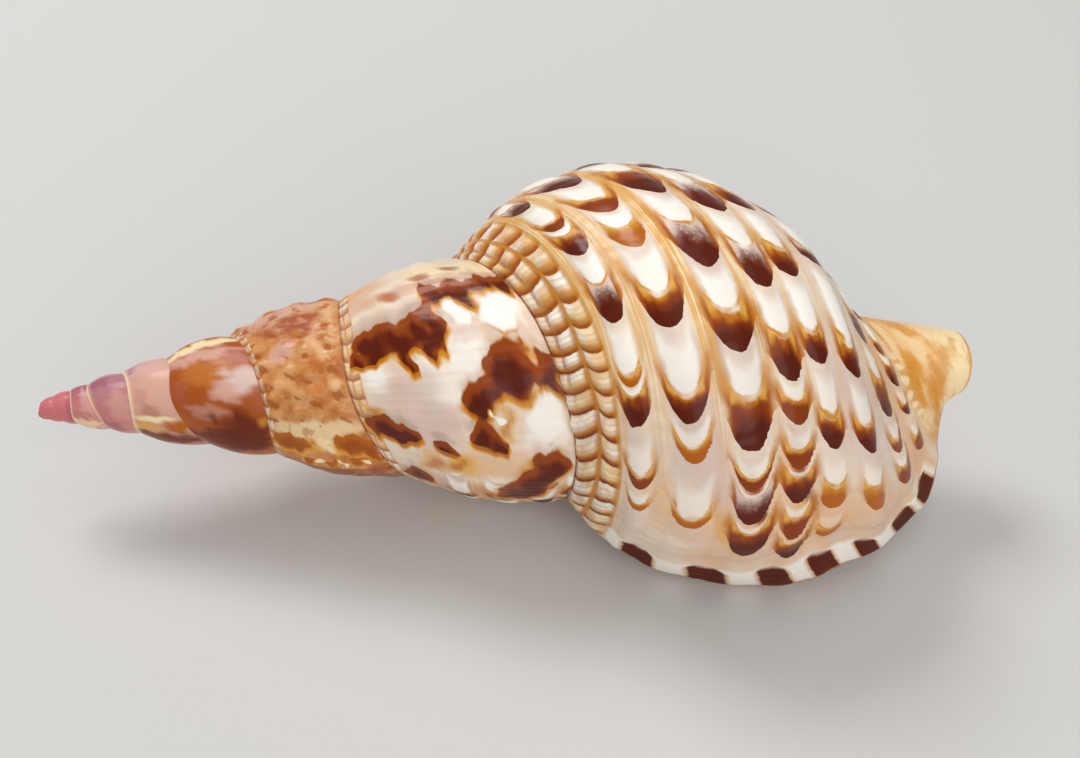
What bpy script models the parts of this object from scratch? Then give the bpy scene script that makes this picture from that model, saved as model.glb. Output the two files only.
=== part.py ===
# Triton shell, one grown piece: a right-handed spiral with an open aperture underneath.
# Shell frame: the coiling axis runs along +X from the apex to the canal.  Growth is counted in
# turns, 0 at the outer lip and negative back towards the apex.
import math

import bpy
import bmesh
import numpy as np
from mathutils import Matrix

MM = 0.001

# --- driving dimensions, millimetres, measured from the pole of the spiral on the axis
GROWTH_PER_TURN = 1.466        # every whorl is this much larger than the one before
WHORL_COUNT = 9                # whorls left behind the worn tip
SUTURE_AT_LIP = (149.5, 37.0)  # along the axis, radius: where the lip meets the whorl above
SUTURE_WAVE = 0.045            # the suture swings back and forth between two varices
SUTURE_PHASE = 0.71            # and is farthest down this far from one varix to the next
VARIX_STEP = 0.6875            # turns between two varices, about three on every two whorls
VARIX_HEIGHT = 2.2             # at the last whorl
VARIX_WIDTH = 0.03             # turns
# roundness of the whorls, share of their width: turns back from the lip, roundness; the spire
# keeps the first one
WHORL_BULGES = ((-1.0, 0.08), (-0.87, 0.12), (-0.72, 0.12), (-0.5, 0.13), (-0.25, 0.145), (0.0, 0.12))
# where the suture strays from that: turns back from the lip, share of its distance, width in turns
SUTURE_STRAYS = ((0.0, -0.033, 0.11), (-1.0, -0.033, 0.11), (-0.3, 0.009, 0.07), (-1.31, 0.012, 0.08),
                 (-3.35, 0.045, 0.09))
TIP_RADIUS = 1.2               # the worn tip is this much blunter than the pure spiral
WALL = 3.8                     # wall thickness at the lip end of the tube
WALL_GROWTH = 1.5              # the wall thins faster than the whorls shrink
LIP_THICKENING = 2.0           # the last rib of growth thickens the lip inwards
LOWER_SWEEP = 18.0             # degrees the lower half of the lip runs on towards the ground
UPPER_SWEEP = 5.0              # and the upper half
PITCH = 2.9                    # degrees, the canal end of the axis is raised as the shell lies
ROLL = -0.4                    # degrees about the axis
LIP_ANGLE = 130.0              # degrees from straight up, over the front, to the lip
CANAL_BEND = 12.3              # the canal's end lies this far off the coiling axis
CANAL_BEND_FROM = 196.5        # and starts to leave it here

# --- body whorl from its girdle down over the base to the end of the canal, one row for each
#     growth stage: turns back from the lip, then (along the axis, radius) pairs
BASE_V = (1.0, 1.4, 1.8, 2.2, 2.6, 3.0)
BASE_ROWS = (
    (-1.50, ((118.5, 29.0), (137.0, 27.0), (152.0, 20.0), (167.0, 11.0), (194.0, 5.0), (251.0, 1.6))),
    (-1.00, ((144.6, 35.8), (165.0, 34.5), (180.0, 26.0), (195.0, 14.5), (213.0, 7.0), (252.0, 3.0))),
    (-0.75, ((154.0, 44.5), (173.0, 40.0), (188.0, 31.0), (200.0, 20.0), (214.0, 11.5), (252.5, 8.5))),
    (-0.50, ((161.5, 51.5), (184.0, 46.0), (201.5, 32.8), (213.7, 20.5), (220.4, 10.8), (252.5, 10.5))),
    (-0.25, ((180.0, 57.5), (199.5, 51.9), (217.3, 43.2), (225.6, 25.7), (234.3, 14.8), (254.0, 10.8))),
    (0.00, ((200.0, 62.0), (219.3, 54.4), (231.3, 48.1), (242.4, 36.0), (246.3, 18.2), (249.0, 8.0))),
)

# --- how finely the surface is divided
STEPS = 48                     # around one turn
SPIRE_V = (0.0, 0.18, 0.38, 0.60, 0.82, 1.0)
CORNER = 0.12                  # inner corner of the aperture, this far past the suture
BODY_V = (1.0 + CORNER / 2, 1.0 + CORNER, 1.35, 1.6, 1.85, 2.1, 2.4, 2.7, 3.0)
CANAL_STEPS = 24               # how far round the open canal is cut
TUBE_TURNS = 4.2               # how far the hollow runs back from the lip

GROWTH = math.log(GROWTH_PER_TURN)


def hermite(xs, ys, x):
    """Smooth curve through the points (xs, ys) at x; ys may carry extra axes at the end."""
    xs = np.asarray(xs, float)
    ys = np.asarray(ys, float)
    x = np.asarray(x, float)
    h = np.diff(xs)
    slope = np.diff(ys, axis=0) / h.reshape((-1,) + (1,) * (ys.ndim - 1))
    m = np.empty_like(ys)
    m[0] = slope[0]
    m[-1] = slope[-1]
    for k in range(1, len(xs) - 1):
        m[k] = (slope[k - 1] * h[k] + slope[k] * h[k - 1]) / (h[k - 1] + h[k])
    i = np.clip(np.searchsorted(xs, x, side="right") - 1, 0, len(xs) - 2)
    u = ((x - xs[i]) / h[i]).reshape(x.shape + (1,) * (ys.ndim - 1))
    hh = h[i].reshape(u.shape)
    return ((1 + 2 * u) * (1 - u) ** 2 * ys[i] + u * (1 - u) ** 2 * hh * m[i]
            + u * u * (3 - 2 * u) * ys[i + 1] + u * u * (u - 1) * hh * m[i + 1])


def ramp(x, lo, hi):
    u = np.clip((np.asarray(x, float) - lo) / (hi - lo), 0.0, 1.0)
    return u * u * (3 - 2 * u)


def suture(t):
    """Where the whorl at growth t starts, under the whorl before it: (along axis, radius)."""
    t = np.asarray(t, float)
    wave = 1.0 + SUTURE_WAVE * np.cos(2 * math.pi * (t / VARIX_STEP - SUTURE_PHASE))
    wave = wave / (1.0 + SUTURE_WAVE * math.cos(2 * math.pi * SUTURE_PHASE))
    for back, share, width in SUTURE_STRAYS:
        wave = wave + share * np.exp(-((t - back) / width) ** 2)
    size = np.exp(GROWTH * t)
    along = SUTURE_AT_LIP[0] * size * wave
    radius = SUTURE_AT_LIP[1] * size * wave + TIP_RADIUS * (1 - size)
    return np.stack([along, radius], -1)


def section_nodes(t):
    """Guide points of the whorl's profile at growth t, apex side first."""
    t = float(t)
    start = suture(t)
    rows_t = [r[0] for r in BASE_ROWS]
    rows = np.array([r[1] for r in BASE_ROWS])
    tb = max(t, rows_t[0])
    base = hermite(rows_t, rows, tb) * math.exp(GROWTH * (t - tb))
    if t <= -1.0:
        girdle = suture(t + 1.0)
        base = base + (girdle - base[0]) * np.linspace(1, 0, len(base))[:, None] ** 2
    end = base[0]
    chord = end - start
    normal = np.array([-chord[1], chord[0]])
    ages = [b[0] for b in WHORL_BULGES]
    bulge = float(hermite(ages, [b[1] for b in WHORL_BULGES], max(t, ages[0])))
    inner = [start + chord * c + normal * bulge * b for c, b in ((0.18, 0.55), (0.45, 1.0), (0.75, 0.72))]
    v = np.array([0.0, 0.2, 0.45, 0.74] + list(BASE_V))
    return v, np.array([start] + inner + list(base))


def growth_time(k):
    """Growth in turns of step k, counted back from the lip."""
    return -k / STEPS


def varix(t):
    """Height of the old lips left on the shell, 0 between them and 1 on the crest."""
    t = np.asarray(t, float)
    nearest = np.round(t / VARIX_STEP) * VARIX_STEP
    d = t - nearest
    rise = np.exp(-(d / VARIX_WIDTH) ** 2)
    fall = np.exp(-(d / (0.4 * VARIX_WIDTH)) ** 2)
    return np.where(d < 0, rise, fall)


def profile(t, vs):
    """Points (along axis, radius) and outward normals of the whorl's outside at growth t."""
    v, nodes = section_nodes(t)
    vs = np.asarray(vs, float)
    p = hermite(v, nodes, vs)
    d = hermite(v, nodes, np.minimum(vs + 0.01, 3.0)) - hermite(v, nodes, np.maximum(vs - 0.01, 0.0))
    d /= np.linalg.norm(d, axis=-1, keepdims=True)
    n = np.stack([-d[:, 1], d[:, 0]], -1)
    free = float(ramp(t, -1.0, -0.92))
    window = ramp(vs, 0.0, 0.25) * (1 - (1 - free) * ramp(vs, 0.75, 1.0)) * (1 - ramp(vs, 2.2, 2.9))
    lift = VARIX_HEIGHT * math.exp(GROWTH * t) * float(varix(t)) * window
    return p + n * lift[:, None], n


def wall(t, vs):
    """Thickness of the wall at growth t."""
    vs = np.asarray(vs, float)
    w = WALL * math.exp(WALL_GROWTH * GROWTH * t) * (0.55 + 0.45 * ramp(vs, 0.0, 0.4))
    w = w + LIP_THICKENING * float(ramp(t, -0.07, -0.01)) * ramp(vs, 0.1, 0.6) * (1 - ramp(vs, 2.3, 2.8))
    return w + 1.6 * ramp(vs, 2.3, 3.0) * float(ramp(-t, 0.0, 0.5))


def place(p, t, vs):
    """Turn profile points (along axis, radius) at growth t into points in space, millimetres."""
    sweep = LOWER_SWEEP * ramp(vs, 1.2, 2.2) * (1 - ramp(vs, 2.4, 3.0))
    sweep = sweep + UPPER_SWEEP * ramp(vs, 0.05, 0.5) * (1 - ramp(vs, 0.7, 1.2))
    sweep = sweep * float(ramp(t, -0.35, 0.0))
    psi = np.radians(LIP_ANGLE + 360.0 * t + sweep)
    lip = math.radians(LIP_ANGLE)
    along = np.clip((p[:, 0] - CANAL_BEND_FROM) / (258.0 - CANAL_BEND_FROM), 0.0, None)
    bend = CANAL_BEND * along ** 1.5
    return np.stack([p[:, 0], -p[:, 1] * np.sin(psi) - bend * math.sin(lip),
                     p[:, 1] * np.cos(psi) + bend * math.cos(lip)], -1)


def outside(t, vs):
    return place(profile(t, vs)[0], t, np.asarray(vs, float))


def shrink(t, vs):
    """Draw the lower end of the tube up the columella, behind the canal."""
    vs = np.asarray(vs, float)
    f = 1.0 - 0.38 * float(ramp(-t, 0.5, 1.05))
    return np.where(vs > 1.3, 1.3 + (vs - 1.3) * f, vs)


def tube_wall(t):
    """Inside of the outer wall, from the corner at the suture to the canal."""
    vs = shrink(t, SPIRE_V[1:] + BODY_V)
    p, n = profile(t, vs)
    q = p - n * wall(t, vs)[:, None]
    return np.concatenate([outside(t - 1.0, [1.0 + CORNER]), place(q, t, vs)])


def tube_floor(t):
    """The whorl and columella that the tube lies against, from the canal to the corner."""
    return outside(t - 1.0, BODY_V[:0:-1])


class Skin:
    """Collects patches of surface that share their edges."""

    def __init__(self):
        self.verts = []
        self.faces = []

    def add(self, points):
        first = len(self.verts)
        self.verts.extend([tuple(p) for p in points])
        return list(range(first, len(self.verts)))

    def grid(self, rows):
        ids = [self.add(r) for r in rows]
        for r0, r1 in zip(ids, ids[1:]):
            self.strip(r0, r1)
        return ids

    def strip(self, r0, r1):
        for j in range(len(r0) - 1):
            self.faces.append((r0[j], r0[j + 1], r1[j + 1], r1[j]))

    def fan(self, loop, centre):
        c = self.add([centre])[0]
        for a, b in zip(loop, loop[1:] + loop[:1]):
            self.faces.append((a, b, c))


def shell_skin():
    skin = Skin()
    total = WHORL_COUNT * STEPS
    # spire and upper half of the body whorl
    spire = skin.grid([outside(growth_time(k), SPIRE_V) for k in range(total, -1, -1)])
    # base of the body whorl, neck and outside of the canal
    base = skin.grid([outside(growth_time(k), (1.0,) + BODY_V) for k in range(STEPS, -1, -1)])
    # worn tip
    loop = [row[0] for row in spire[:STEPS + 1]] + spire[0][-2:0:-1]
    tip = np.mean([skin.verts[i] for i in loop], axis=0) + np.array([-1.6, 0.0, 0.0])
    skin.fan(loop, tip)
    # the hollow
    back = list(range(CANAL_STEPS + 1)) + list(range(CANAL_STEPS + 3, int(TUBE_TURNS * STEPS), 3))
    walls = skin.grid([tube_wall(growth_time(k)) for k in back])
    floors = skin.grid([tube_floor(growth_time(k)) for k in back])
    for k in range(CANAL_STEPS, len(back) - 1):
        skin.faces.append((walls[k][-1], walls[k + 1][-1], floors[k + 1][0], floors[k][0]))
    k = CANAL_STEPS
    skin.faces.append((walls[k][-1], floors[k][0], floors[k - 1][0]))
    deep = walls[-1] + floors[-1][:-1]
    skin.fan(deep, np.mean([skin.verts[i] for i in deep], axis=0))
    # rounded edge of the lip and the end face of the canal
    lip_out = spire[-1] + base[-1][1:]
    lip_in = walls[0]
    canal_out = [row[-1] for row in base[::-1]]
    canal_in = [walls[k][-1] for k in range(CANAL_STEPS + 1)]
    canal_in += [floors[k][0] for k in range(CANAL_STEPS, -1, -1)][1:]
    outs = lip_out + canal_out[1:]
    ins = lip_in + canal_in[1:]
    edge = []
    for i, (a, b) in enumerate(zip(outs, ins)):
        pa = np.array(skin.verts[a])
        pb = np.array(skin.verts[b])
        if i < len(lip_out):
            v = (SPIRE_V + BODY_V)[i]
            ahead = outside(0.004, [v])[0] - outside(0.0, [v])[0]
            ahead = ahead / np.linalg.norm(ahead) * (1 - float(ramp(v, 2.5, 3.0)))
            ahead = ahead + np.array([1.0, 0.0, 0.0]) * float(ramp(v, 2.5, 3.0))
        else:
            ahead = np.array([1.0, 0.0, 0.0])
        reach = min(0.4 * np.linalg.norm(pa - pb), 1.4)
        edge.append((pa + pb) / 2 + ahead * reach)
    edge[0] = outside(-1.0, [1.0 + CORNER / 2])[0]
    ids = skin.add(edge)
    for i in range(len(outs) - 1):
        skin.faces.append((outs[i], outs[i + 1], ids[i + 1], ids[i]))
        skin.faces.append((ids[i], ids[i + 1], ins[i + 1], ins[i]))
    return skin


# --- build
def build_shell():
    skin = shell_skin()
    mesh = bpy.data.meshes.new("shell")
    bm = bmesh.new()
    verts = [bm.verts.new([c * MM for c in p]) for p in skin.verts]
    for f in skin.faces:
        bm.faces.new([verts[i] for i in f])
    bmesh.ops.remove_doubles(bm, verts=bm.verts[:], dist=0.000002)
    bmesh.ops.dissolve_degenerate(bm, dist=0.000001, edges=bm.edges[:])
    bmesh.ops.triangulate(bm, faces=bm.faces[:])
    bmesh.ops.recalc_face_normals(bm, faces=bm.faces[:])
    turn = Matrix.Rotation(math.radians(-PITCH), 4, "Y") @ Matrix.Rotation(math.radians(ROLL), 4, "X")
    bmesh.ops.transform(bm, matrix=turn, verts=bm.verts[:])
    lo = [min(v.co[i] for v in bm.verts) for i in range(3)]
    hi = [max(v.co[i] for v in bm.verts) for i in range(3)]
    shift = Matrix.Translation((-(lo[0] + hi[0]) / 2, -(lo[1] + hi[1]) / 2, -lo[2]))
    bmesh.ops.transform(bm, matrix=shift, verts=bm.verts[:])
    for f in bm.faces:
        f.smooth = True
    bm.to_mesh(mesh)
    bm.free()
    return mesh


def main():
    for obj in list(bpy.data.objects):
        bpy.data.objects.remove(obj, do_unlink=True)
    group = bpy.data.collections.new("triton_shell")
    bpy.context.scene.collection.children.link(group)
    shell = bpy.data.objects.new("shell", build_shell())
    group.objects.link(shell)
    mat = bpy.data.materials.new("shell")
    mat.use_nodes = True
    bsdf = mat.node_tree.nodes["Principled BSDF"]
    bsdf.inputs["Base Color"].default_value = (0.62, 0.42, 0.29, 1.0)
    bsdf.inputs["Roughness"].default_value = 0.32
    bsdf.inputs["Metallic"].default_value = 0.0
    shell.data.materials.append(mat)


main()
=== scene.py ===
import math

import bmesh
import bpy
import numpy as np
from mathutils import Matrix, Vector


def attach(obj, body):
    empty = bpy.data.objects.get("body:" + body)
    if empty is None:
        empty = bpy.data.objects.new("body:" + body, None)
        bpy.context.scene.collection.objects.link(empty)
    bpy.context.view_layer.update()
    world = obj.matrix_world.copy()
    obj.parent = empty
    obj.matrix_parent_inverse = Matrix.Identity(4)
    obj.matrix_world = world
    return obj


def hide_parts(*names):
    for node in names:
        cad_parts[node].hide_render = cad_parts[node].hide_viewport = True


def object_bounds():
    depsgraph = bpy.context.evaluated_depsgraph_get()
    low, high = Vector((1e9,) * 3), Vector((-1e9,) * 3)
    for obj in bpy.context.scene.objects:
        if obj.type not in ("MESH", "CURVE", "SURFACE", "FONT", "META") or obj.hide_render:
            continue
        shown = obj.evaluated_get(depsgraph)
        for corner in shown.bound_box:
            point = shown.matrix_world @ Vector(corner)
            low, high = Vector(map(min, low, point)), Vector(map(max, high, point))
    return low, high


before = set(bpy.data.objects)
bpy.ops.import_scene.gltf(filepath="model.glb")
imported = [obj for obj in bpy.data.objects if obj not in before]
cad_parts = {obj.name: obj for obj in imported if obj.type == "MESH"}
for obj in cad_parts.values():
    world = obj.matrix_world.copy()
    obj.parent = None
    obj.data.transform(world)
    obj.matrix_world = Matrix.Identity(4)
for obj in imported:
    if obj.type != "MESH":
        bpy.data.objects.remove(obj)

cadBox = [list(corner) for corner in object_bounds()]
mm = 0.001
print("frame loaded, box", [[round(c, 4) for c in corner] for corner in cadBox])

# turns are counted from the lip, negative towards the apex; across runs from the upper suture
# (0) over the girdle of the whorl (1) to the end of the canal (3); lengths in millimetres
plan = {
    "perTurn": 1.466,  # growth of every length in one turn
    "whorls": 9,
    "sutureAlong": 149.5,  # the suture at the lip: its place along the axis, and its radius
    "sutureRadius": 37.0,
    "sutureWave": 0.045,
    "sutureWavePhase": 0.71,
    "tipRadius": 1.2,
    "tipHeight": 1.6,
    "varixStep": 0.6875,  # turns from one old lip to the next
    "varixHeight": 2.2,
    "varixWidth": 0.03,
    "lipAngle": 130.0,
    "lowerSweep": 18.0,  # degrees that the lip leans forward below and above
    "upperSweep": 5.0,
    "canalBend": 12.3,  # and the places along the axis where it starts and is full
    "canalBendFrom": 196.5,
    "canalBendTo": 258.0,
    "pitch": 2.9,  # how it lies on the floor, in degrees
    "roll": -0.4,
    "wall": 3.8,
    "wallGrowth": 1.5,
    "lipThickening": 2.0,
    "canalThickening": 1.6,
    "corner": 0.12,  # across, from the girdle to the corner of the mouth
    "hollowTurns": 4.2,
    "canalOpenTurns": 0.5,
    "ribHeight": 0.9,  # relief, on the last whorl
    "cordHeight": 0.22,
    "firstBeadHeight": 1.45,
    "secondBeadHeight": 1.05,
    "blisterHeight": 2.1,
    "pitDepth": 0.9,
    "growthLineHeight": 0.05,
    "lipGroove": 0.9,
    "sutureGroove": 0.5,
    "foldHeight": 0.45,
    "toothHeight": 1.1,
    "visibleStep": 1 / 432,  # mesh: turns from row to row, on the upper side as the shell lies
    "hiddenStep": 1 / 216,
    "innerStep": 1 / 108,
    "deepStep": 1 / 24,
    "bodyAcross": (57, 72),  # points from suture to girdle, and from there to the canal's end
    "whorlAcross": (38, 28, 20, 16, 13, 11, 9, 8),
    "roughness": 0.28,  # gloss and fine bump
    "fineRoughness": 0.1,
    "lipRoughness": 0.3,
    "specular": 0.16,
    "coat": 0.14,
    "coatRoughness": 0.12,
    "bump": 0.1,
    "bumpDepth": 0.0003,
}
sutureStrays = (  # turns back from the lip, share of its distance, width in turns
    (0.0, -0.033, 0.11), (-1.0, -0.033, 0.11), (-0.3, 0.009, 0.07), (-1.31, 0.012, 0.08),
    (-3.35, 0.045, 0.09),
)
roundness = ((-1.0, 0.08), (-0.87, 0.12), (-0.72, 0.12), (-0.5, 0.13), (-0.25, 0.145), (0.0, 0.12))
baseAcross = (1.0, 1.4, 1.8, 2.2, 2.6, 3.0)
baseRows = (  # turns back from the lip, then (along the axis, radius)
    (-1.5, ((118.5, 29.0), (137.0, 27.0), (152.0, 20.0), (167.0, 11.0), (194.0, 5.0), (251.0, 1.6))),
    (-1.00, ((144.6, 35.8), (165.0, 34.5), (180.0, 26.0), (195.0, 14.5), (213.0, 7.0), (252.0, 3.0))),
    (-0.75, ((154.0, 44.5), (173.0, 40.0), (188.0, 31.0), (200.0, 20.0), (214.0, 11.5), (252.5, 8.5))),
    (-0.5, ((161.5, 51.5), (184.0, 46.0), (201.5, 32.8), (213.7, 20.5), (220.4, 10.8), (252.5, 10.5))),
    (-0.25, ((180.0, 57.5), (199.5, 51.9), (217.3, 43.2), (225.6, 25.7), (234.3, 14.8), (254.0, 10.8))),
    (0.0, ((200.0, 62.0), (219.3, 54.4), (231.3, 48.1), (242.4, 36.0), (246.3, 18.2), (249.0, 8.0))),
)
growthRate = math.log(plan["perTurn"])


def hermite(xs, ys, x):  # smooth curve through the points (xs, ys)
    xs, ys, x = np.asarray(xs, float), np.asarray(ys, float), np.asarray(x, float)
    h = np.diff(xs)
    slope = np.diff(ys, axis=0) / h.reshape((-1,) + (1,) * (ys.ndim - 1))
    m = np.empty_like(ys)
    m[0] = slope[0]
    m[-1] = slope[-1]
    for k in range(1, len(xs) - 1):
        m[k] = (slope[k - 1] * h[k] + slope[k] * h[k - 1]) / (h[k - 1] + h[k])
    i = np.clip(np.searchsorted(xs, x, side="right") - 1, 0, len(xs) - 2)
    u = ((x - xs[i]) / h[i]).reshape(x.shape + (1,) * (ys.ndim - 1))
    step = h[i].reshape(u.shape)
    return ((1 + 2 * u) * (1 - u) ** 2 * ys[i] + u * (1 - u) ** 2 * step * m[i]
            + u * u * (3 - 2 * u) * ys[i + 1] + u * u * (u - 1) * step * m[i + 1])


def ramp(x, lo, hi):
    u = np.clip((np.asarray(x, float) - lo) / (hi - lo), 0.0, 1.0)
    return u * u * (3 - 2 * u)


def window(x, rise, full, fade, end):  # 0, then 1 from full to fade, then 0 again
    return ramp(x, rise, full) * (1 - ramp(x, fade, end))


def bell(x, centre, width):
    return np.exp(-((np.asarray(x, float) - centre) / width) ** 2)


def suture(turn):
    turn = np.asarray(turn, float)
    height, phase = plan["sutureWave"], plan["sutureWavePhase"]
    wave = 1 + height * np.cos(2 * math.pi * (turn / plan["varixStep"] - phase))
    wave = wave / (1 + height * math.cos(2 * math.pi * phase))
    for back, share, width in sutureStrays:
        wave = wave + share * bell(turn, back, width)
    size = np.exp(growthRate * turn)
    radius = plan["sutureRadius"] * size * wave + plan["tipRadius"] * (1 - size)
    return np.stack([plan["sutureAlong"] * size * wave, radius], -1)


def sectionNodes(turn):
    start = suture(turn)
    rowTurns = [row[0] for row in baseRows]
    oldest = max(turn, rowTurns[0])
    base = hermite(rowTurns, np.array([row[1] for row in baseRows]), oldest)
    base = base * math.exp(growthRate * (turn - oldest))
    if turn <= -1.0:
        base = base + (suture(turn + 1.0) - base[0]) * np.linspace(1, 0, len(base))[:, None] ** 2
    chord = base[0] - start
    normal = np.array([-chord[1], chord[0]])
    bulge = float(hermite([r[0] for r in roundness], [r[1] for r in roundness], max(turn, -1.0)))
    inner = [start + chord * c + normal * bulge * b for c, b in ((0.18, 0.55), (0.45, 1.0), (0.75, 0.72))]
    return np.array([0.0, 0.2, 0.45, 0.74] + list(baseAcross)), np.array([start] + inner + list(base))


def varix(turn):
    d = turn - round(turn / plan["varixStep"]) * plan["varixStep"]
    return math.exp(-(d / (plan["varixWidth"] * (1.0 if d < 0 else 0.4))) ** 2)


def profile(turn, across):  # points (along axis, radius) of the plain surface, and their normals
    v, nodes = sectionNodes(turn)
    p = hermite(v, nodes, across)
    after, before = np.minimum(across + 0.01, 3.0), np.maximum(across - 0.01, 0.0)
    d = hermite(v, nodes, after) - hermite(v, nodes, before)
    d /= np.linalg.norm(d, axis=-1, keepdims=True)
    n = np.stack([-d[:, 1], d[:, 0]], -1)
    lift = plan["varixHeight"] * math.exp(growthRate * turn) * varix(turn)
    covered = (1 - ramp(turn, -1.0, -0.92)) * ramp(across, 0.75, 1.0)
    lift = lift * window(across, 0.0, 0.25, 2.2, 2.9) * (1 - covered)
    return p + n * lift[:, None], n


def wallThickness(turn, across):
    wall = plan["wall"] * math.exp(plan["wallGrowth"] * growthRate * turn)
    wall = wall * (0.55 + 0.45 * ramp(across, 0.0, 0.4))
    atLip = ramp(turn, -0.07, -0.01) * window(across, 0.1, 0.6, 2.3, 2.8)
    atCanal = ramp(across, 2.3, 3.0) * ramp(-turn, 0.0, 0.5)
    return wall + plan["lipThickening"] * atLip + plan["canalThickening"] * atCanal


def place(p, turn, across):  # from (along axis, radius) to a point round the coiling axis
    sweep = plan["lowerSweep"] * window(across, 1.2, 2.2, 2.4, 3.0)
    sweep = sweep + plan["upperSweep"] * window(across, 0.05, 0.5, 0.7, 1.2)
    angle = np.radians(plan["lipAngle"] + 360.0 * turn + sweep * ramp(turn, -0.35, 0.0))
    lip = math.radians(plan["lipAngle"])
    along = (p[:, 0] - plan["canalBendFrom"]) / (plan["canalBendTo"] - plan["canalBendFrom"])
    bend = plan["canalBend"] * np.clip(along, 0.0, None) ** 1.5
    return np.stack([p[:, 0], -p[:, 1] * np.sin(angle) - bend * math.sin(lip),
                     p[:, 1] * np.cos(angle) + bend * math.cos(lip)], -1)


# spiral bands of the body whorl, each with its own row of marks.  across: centre and half width;
# marks: the turns where the white scale ends and where the dark one behind it ends, and its kind:
# d dark, m dark with a mauve root, b brown, g golden, o orange
bandRows = (
    {"across": (0.57, 0.078), "marks": (
        (-0.43, -0.404, "m"), (-0.366, -0.354, "b"), (-0.346, -0.322, "d"), (-0.294, -0.266, "m"),
        (-0.227, -0.22, "g"), (-0.214, -0.192, "d"), (-0.151, -0.14, "b"), (-0.122, -0.116, "o"))},
    {"across": (0.865, 0.112), "marks": (
        (-0.432, -0.402, "m"), (-0.372, -0.354, "b"), (-0.336, -0.318, "g"), (-0.28, -0.256, "d"),
        (-0.212, -0.194, "d"), (-0.178, -0.17, "g"), (-0.12, -0.112, "o"))},
    {"across": (1.175, 0.098), "marks": (
        (-0.465, -0.44, "m"), (-0.408, -0.37, "d"), (-0.334, -0.298, "m"), (-0.264, -0.234, "d"),
        (-0.204, -0.166, "d"), (-0.147, -0.139, "b"), (-0.134, -0.112, "m"), (-0.104, -0.081, "d"))},
    {"across": (1.405, 0.074), "marks": (
        (-0.44, -0.42, "m"), (-0.392, -0.354, "m"), (-0.318, -0.282, "m"), (-0.244, -0.212, "d"),
        (-0.2, -0.18, "b"), (-0.16, -0.145, "b"), (-0.14, -0.117, "d"), (-0.104, -0.082, "b"),
        (-0.079, -0.058, "d"))},
    {"across": (1.58, 0.059), "marks": (
        (-0.402, -0.37, "d"), (-0.322, -0.296, "d"), (-0.25, -0.228, "d"), (-0.186, -0.165, "d"),
        (-0.128, -0.105, "o"), (-0.08, -0.071, "g"))},
    {"across": (1.79, 0.071), "marks": (
        (-0.42, -0.392, "d"), (-0.34, -0.322, "m"), (-0.247, -0.221, "d"), (-0.184, -0.161, "d"),
        (-0.128, -0.103, "o"))},
    {"across": (2.13, 0.088), "marks": (
        (-0.38, -0.345, "m"), (-0.3, -0.258, "d"), (-0.215, -0.177, "d"), (-0.152, -0.136, "b"),
        (-0.116, -0.092, "b"))},
    {"across": (2.42, 0.062), "marks": (
        (-0.345, -0.31, "b"), (-0.268, -0.244, "b"), (-0.228, -0.197, "d"), (-0.17, -0.151, "d"),
        (-0.115, -0.082, "b"))},
)
markStep = 0.068          # turns between the marks that aren't listed
kindTone = {"d": 1.0, "m": 1.0, "b": 0.75, "g": 0.45, "o": 0.5}
# the narrow cords between the bands: across centre, half width, how golden
cords = ((0.698, 0.05, 0.8), (1.028, 0.044, 1.0),
         (1.303, 0.032, 0.75), (1.497, 0.016, 0.5), (1.683, 0.016, 0.3))
# the two rows of beads below the suture: turns, then the across of the cord between them and of the
# golden cord under the second row
beadCords = ((-9.0, 0.1, 0.3), (-2.0, 0.1, 0.3), (-1.0, 0.1, 0.26), (-0.5, 0.12, 0.26), (-0.42, 0.15, 0.3),
             (-0.36, 0.213, 0.36), (-0.32, 0.258, 0.395), (-0.27, 0.285, 0.45), (-0.235, 0.293, 0.47),
             (-0.2, 0.29, 0.43), (-0.165, 0.243, 0.39), (-0.142, 0.209, 0.36), (-0.12, 0.182, 0.325),
             (-0.087, 0.145, 0.29), (-0.04, 0.118, 0.265), (0.0, 0.105, 0.25))
beadEdges = (-0.412, -0.38, -0.352, -0.3195, -0.288, -0.2657, -0.2405, -0.2213, -0.197, -0.174, -0.1455,
             -0.1128, -0.08, -0.045, -0.012)
beadStep = 0.033
upperScale = 1.38         # on the spire the same bands lie closer to the upper suture
lipBars = ((0.4, 0.07), (0.705, 0.085), (0.995, 0.068), (1.24, 0.072), (1.57, 0.095), (1.955, 0.1),
           (2.22, 0.09))  # dark bars across the lip: across centre, half width

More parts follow.
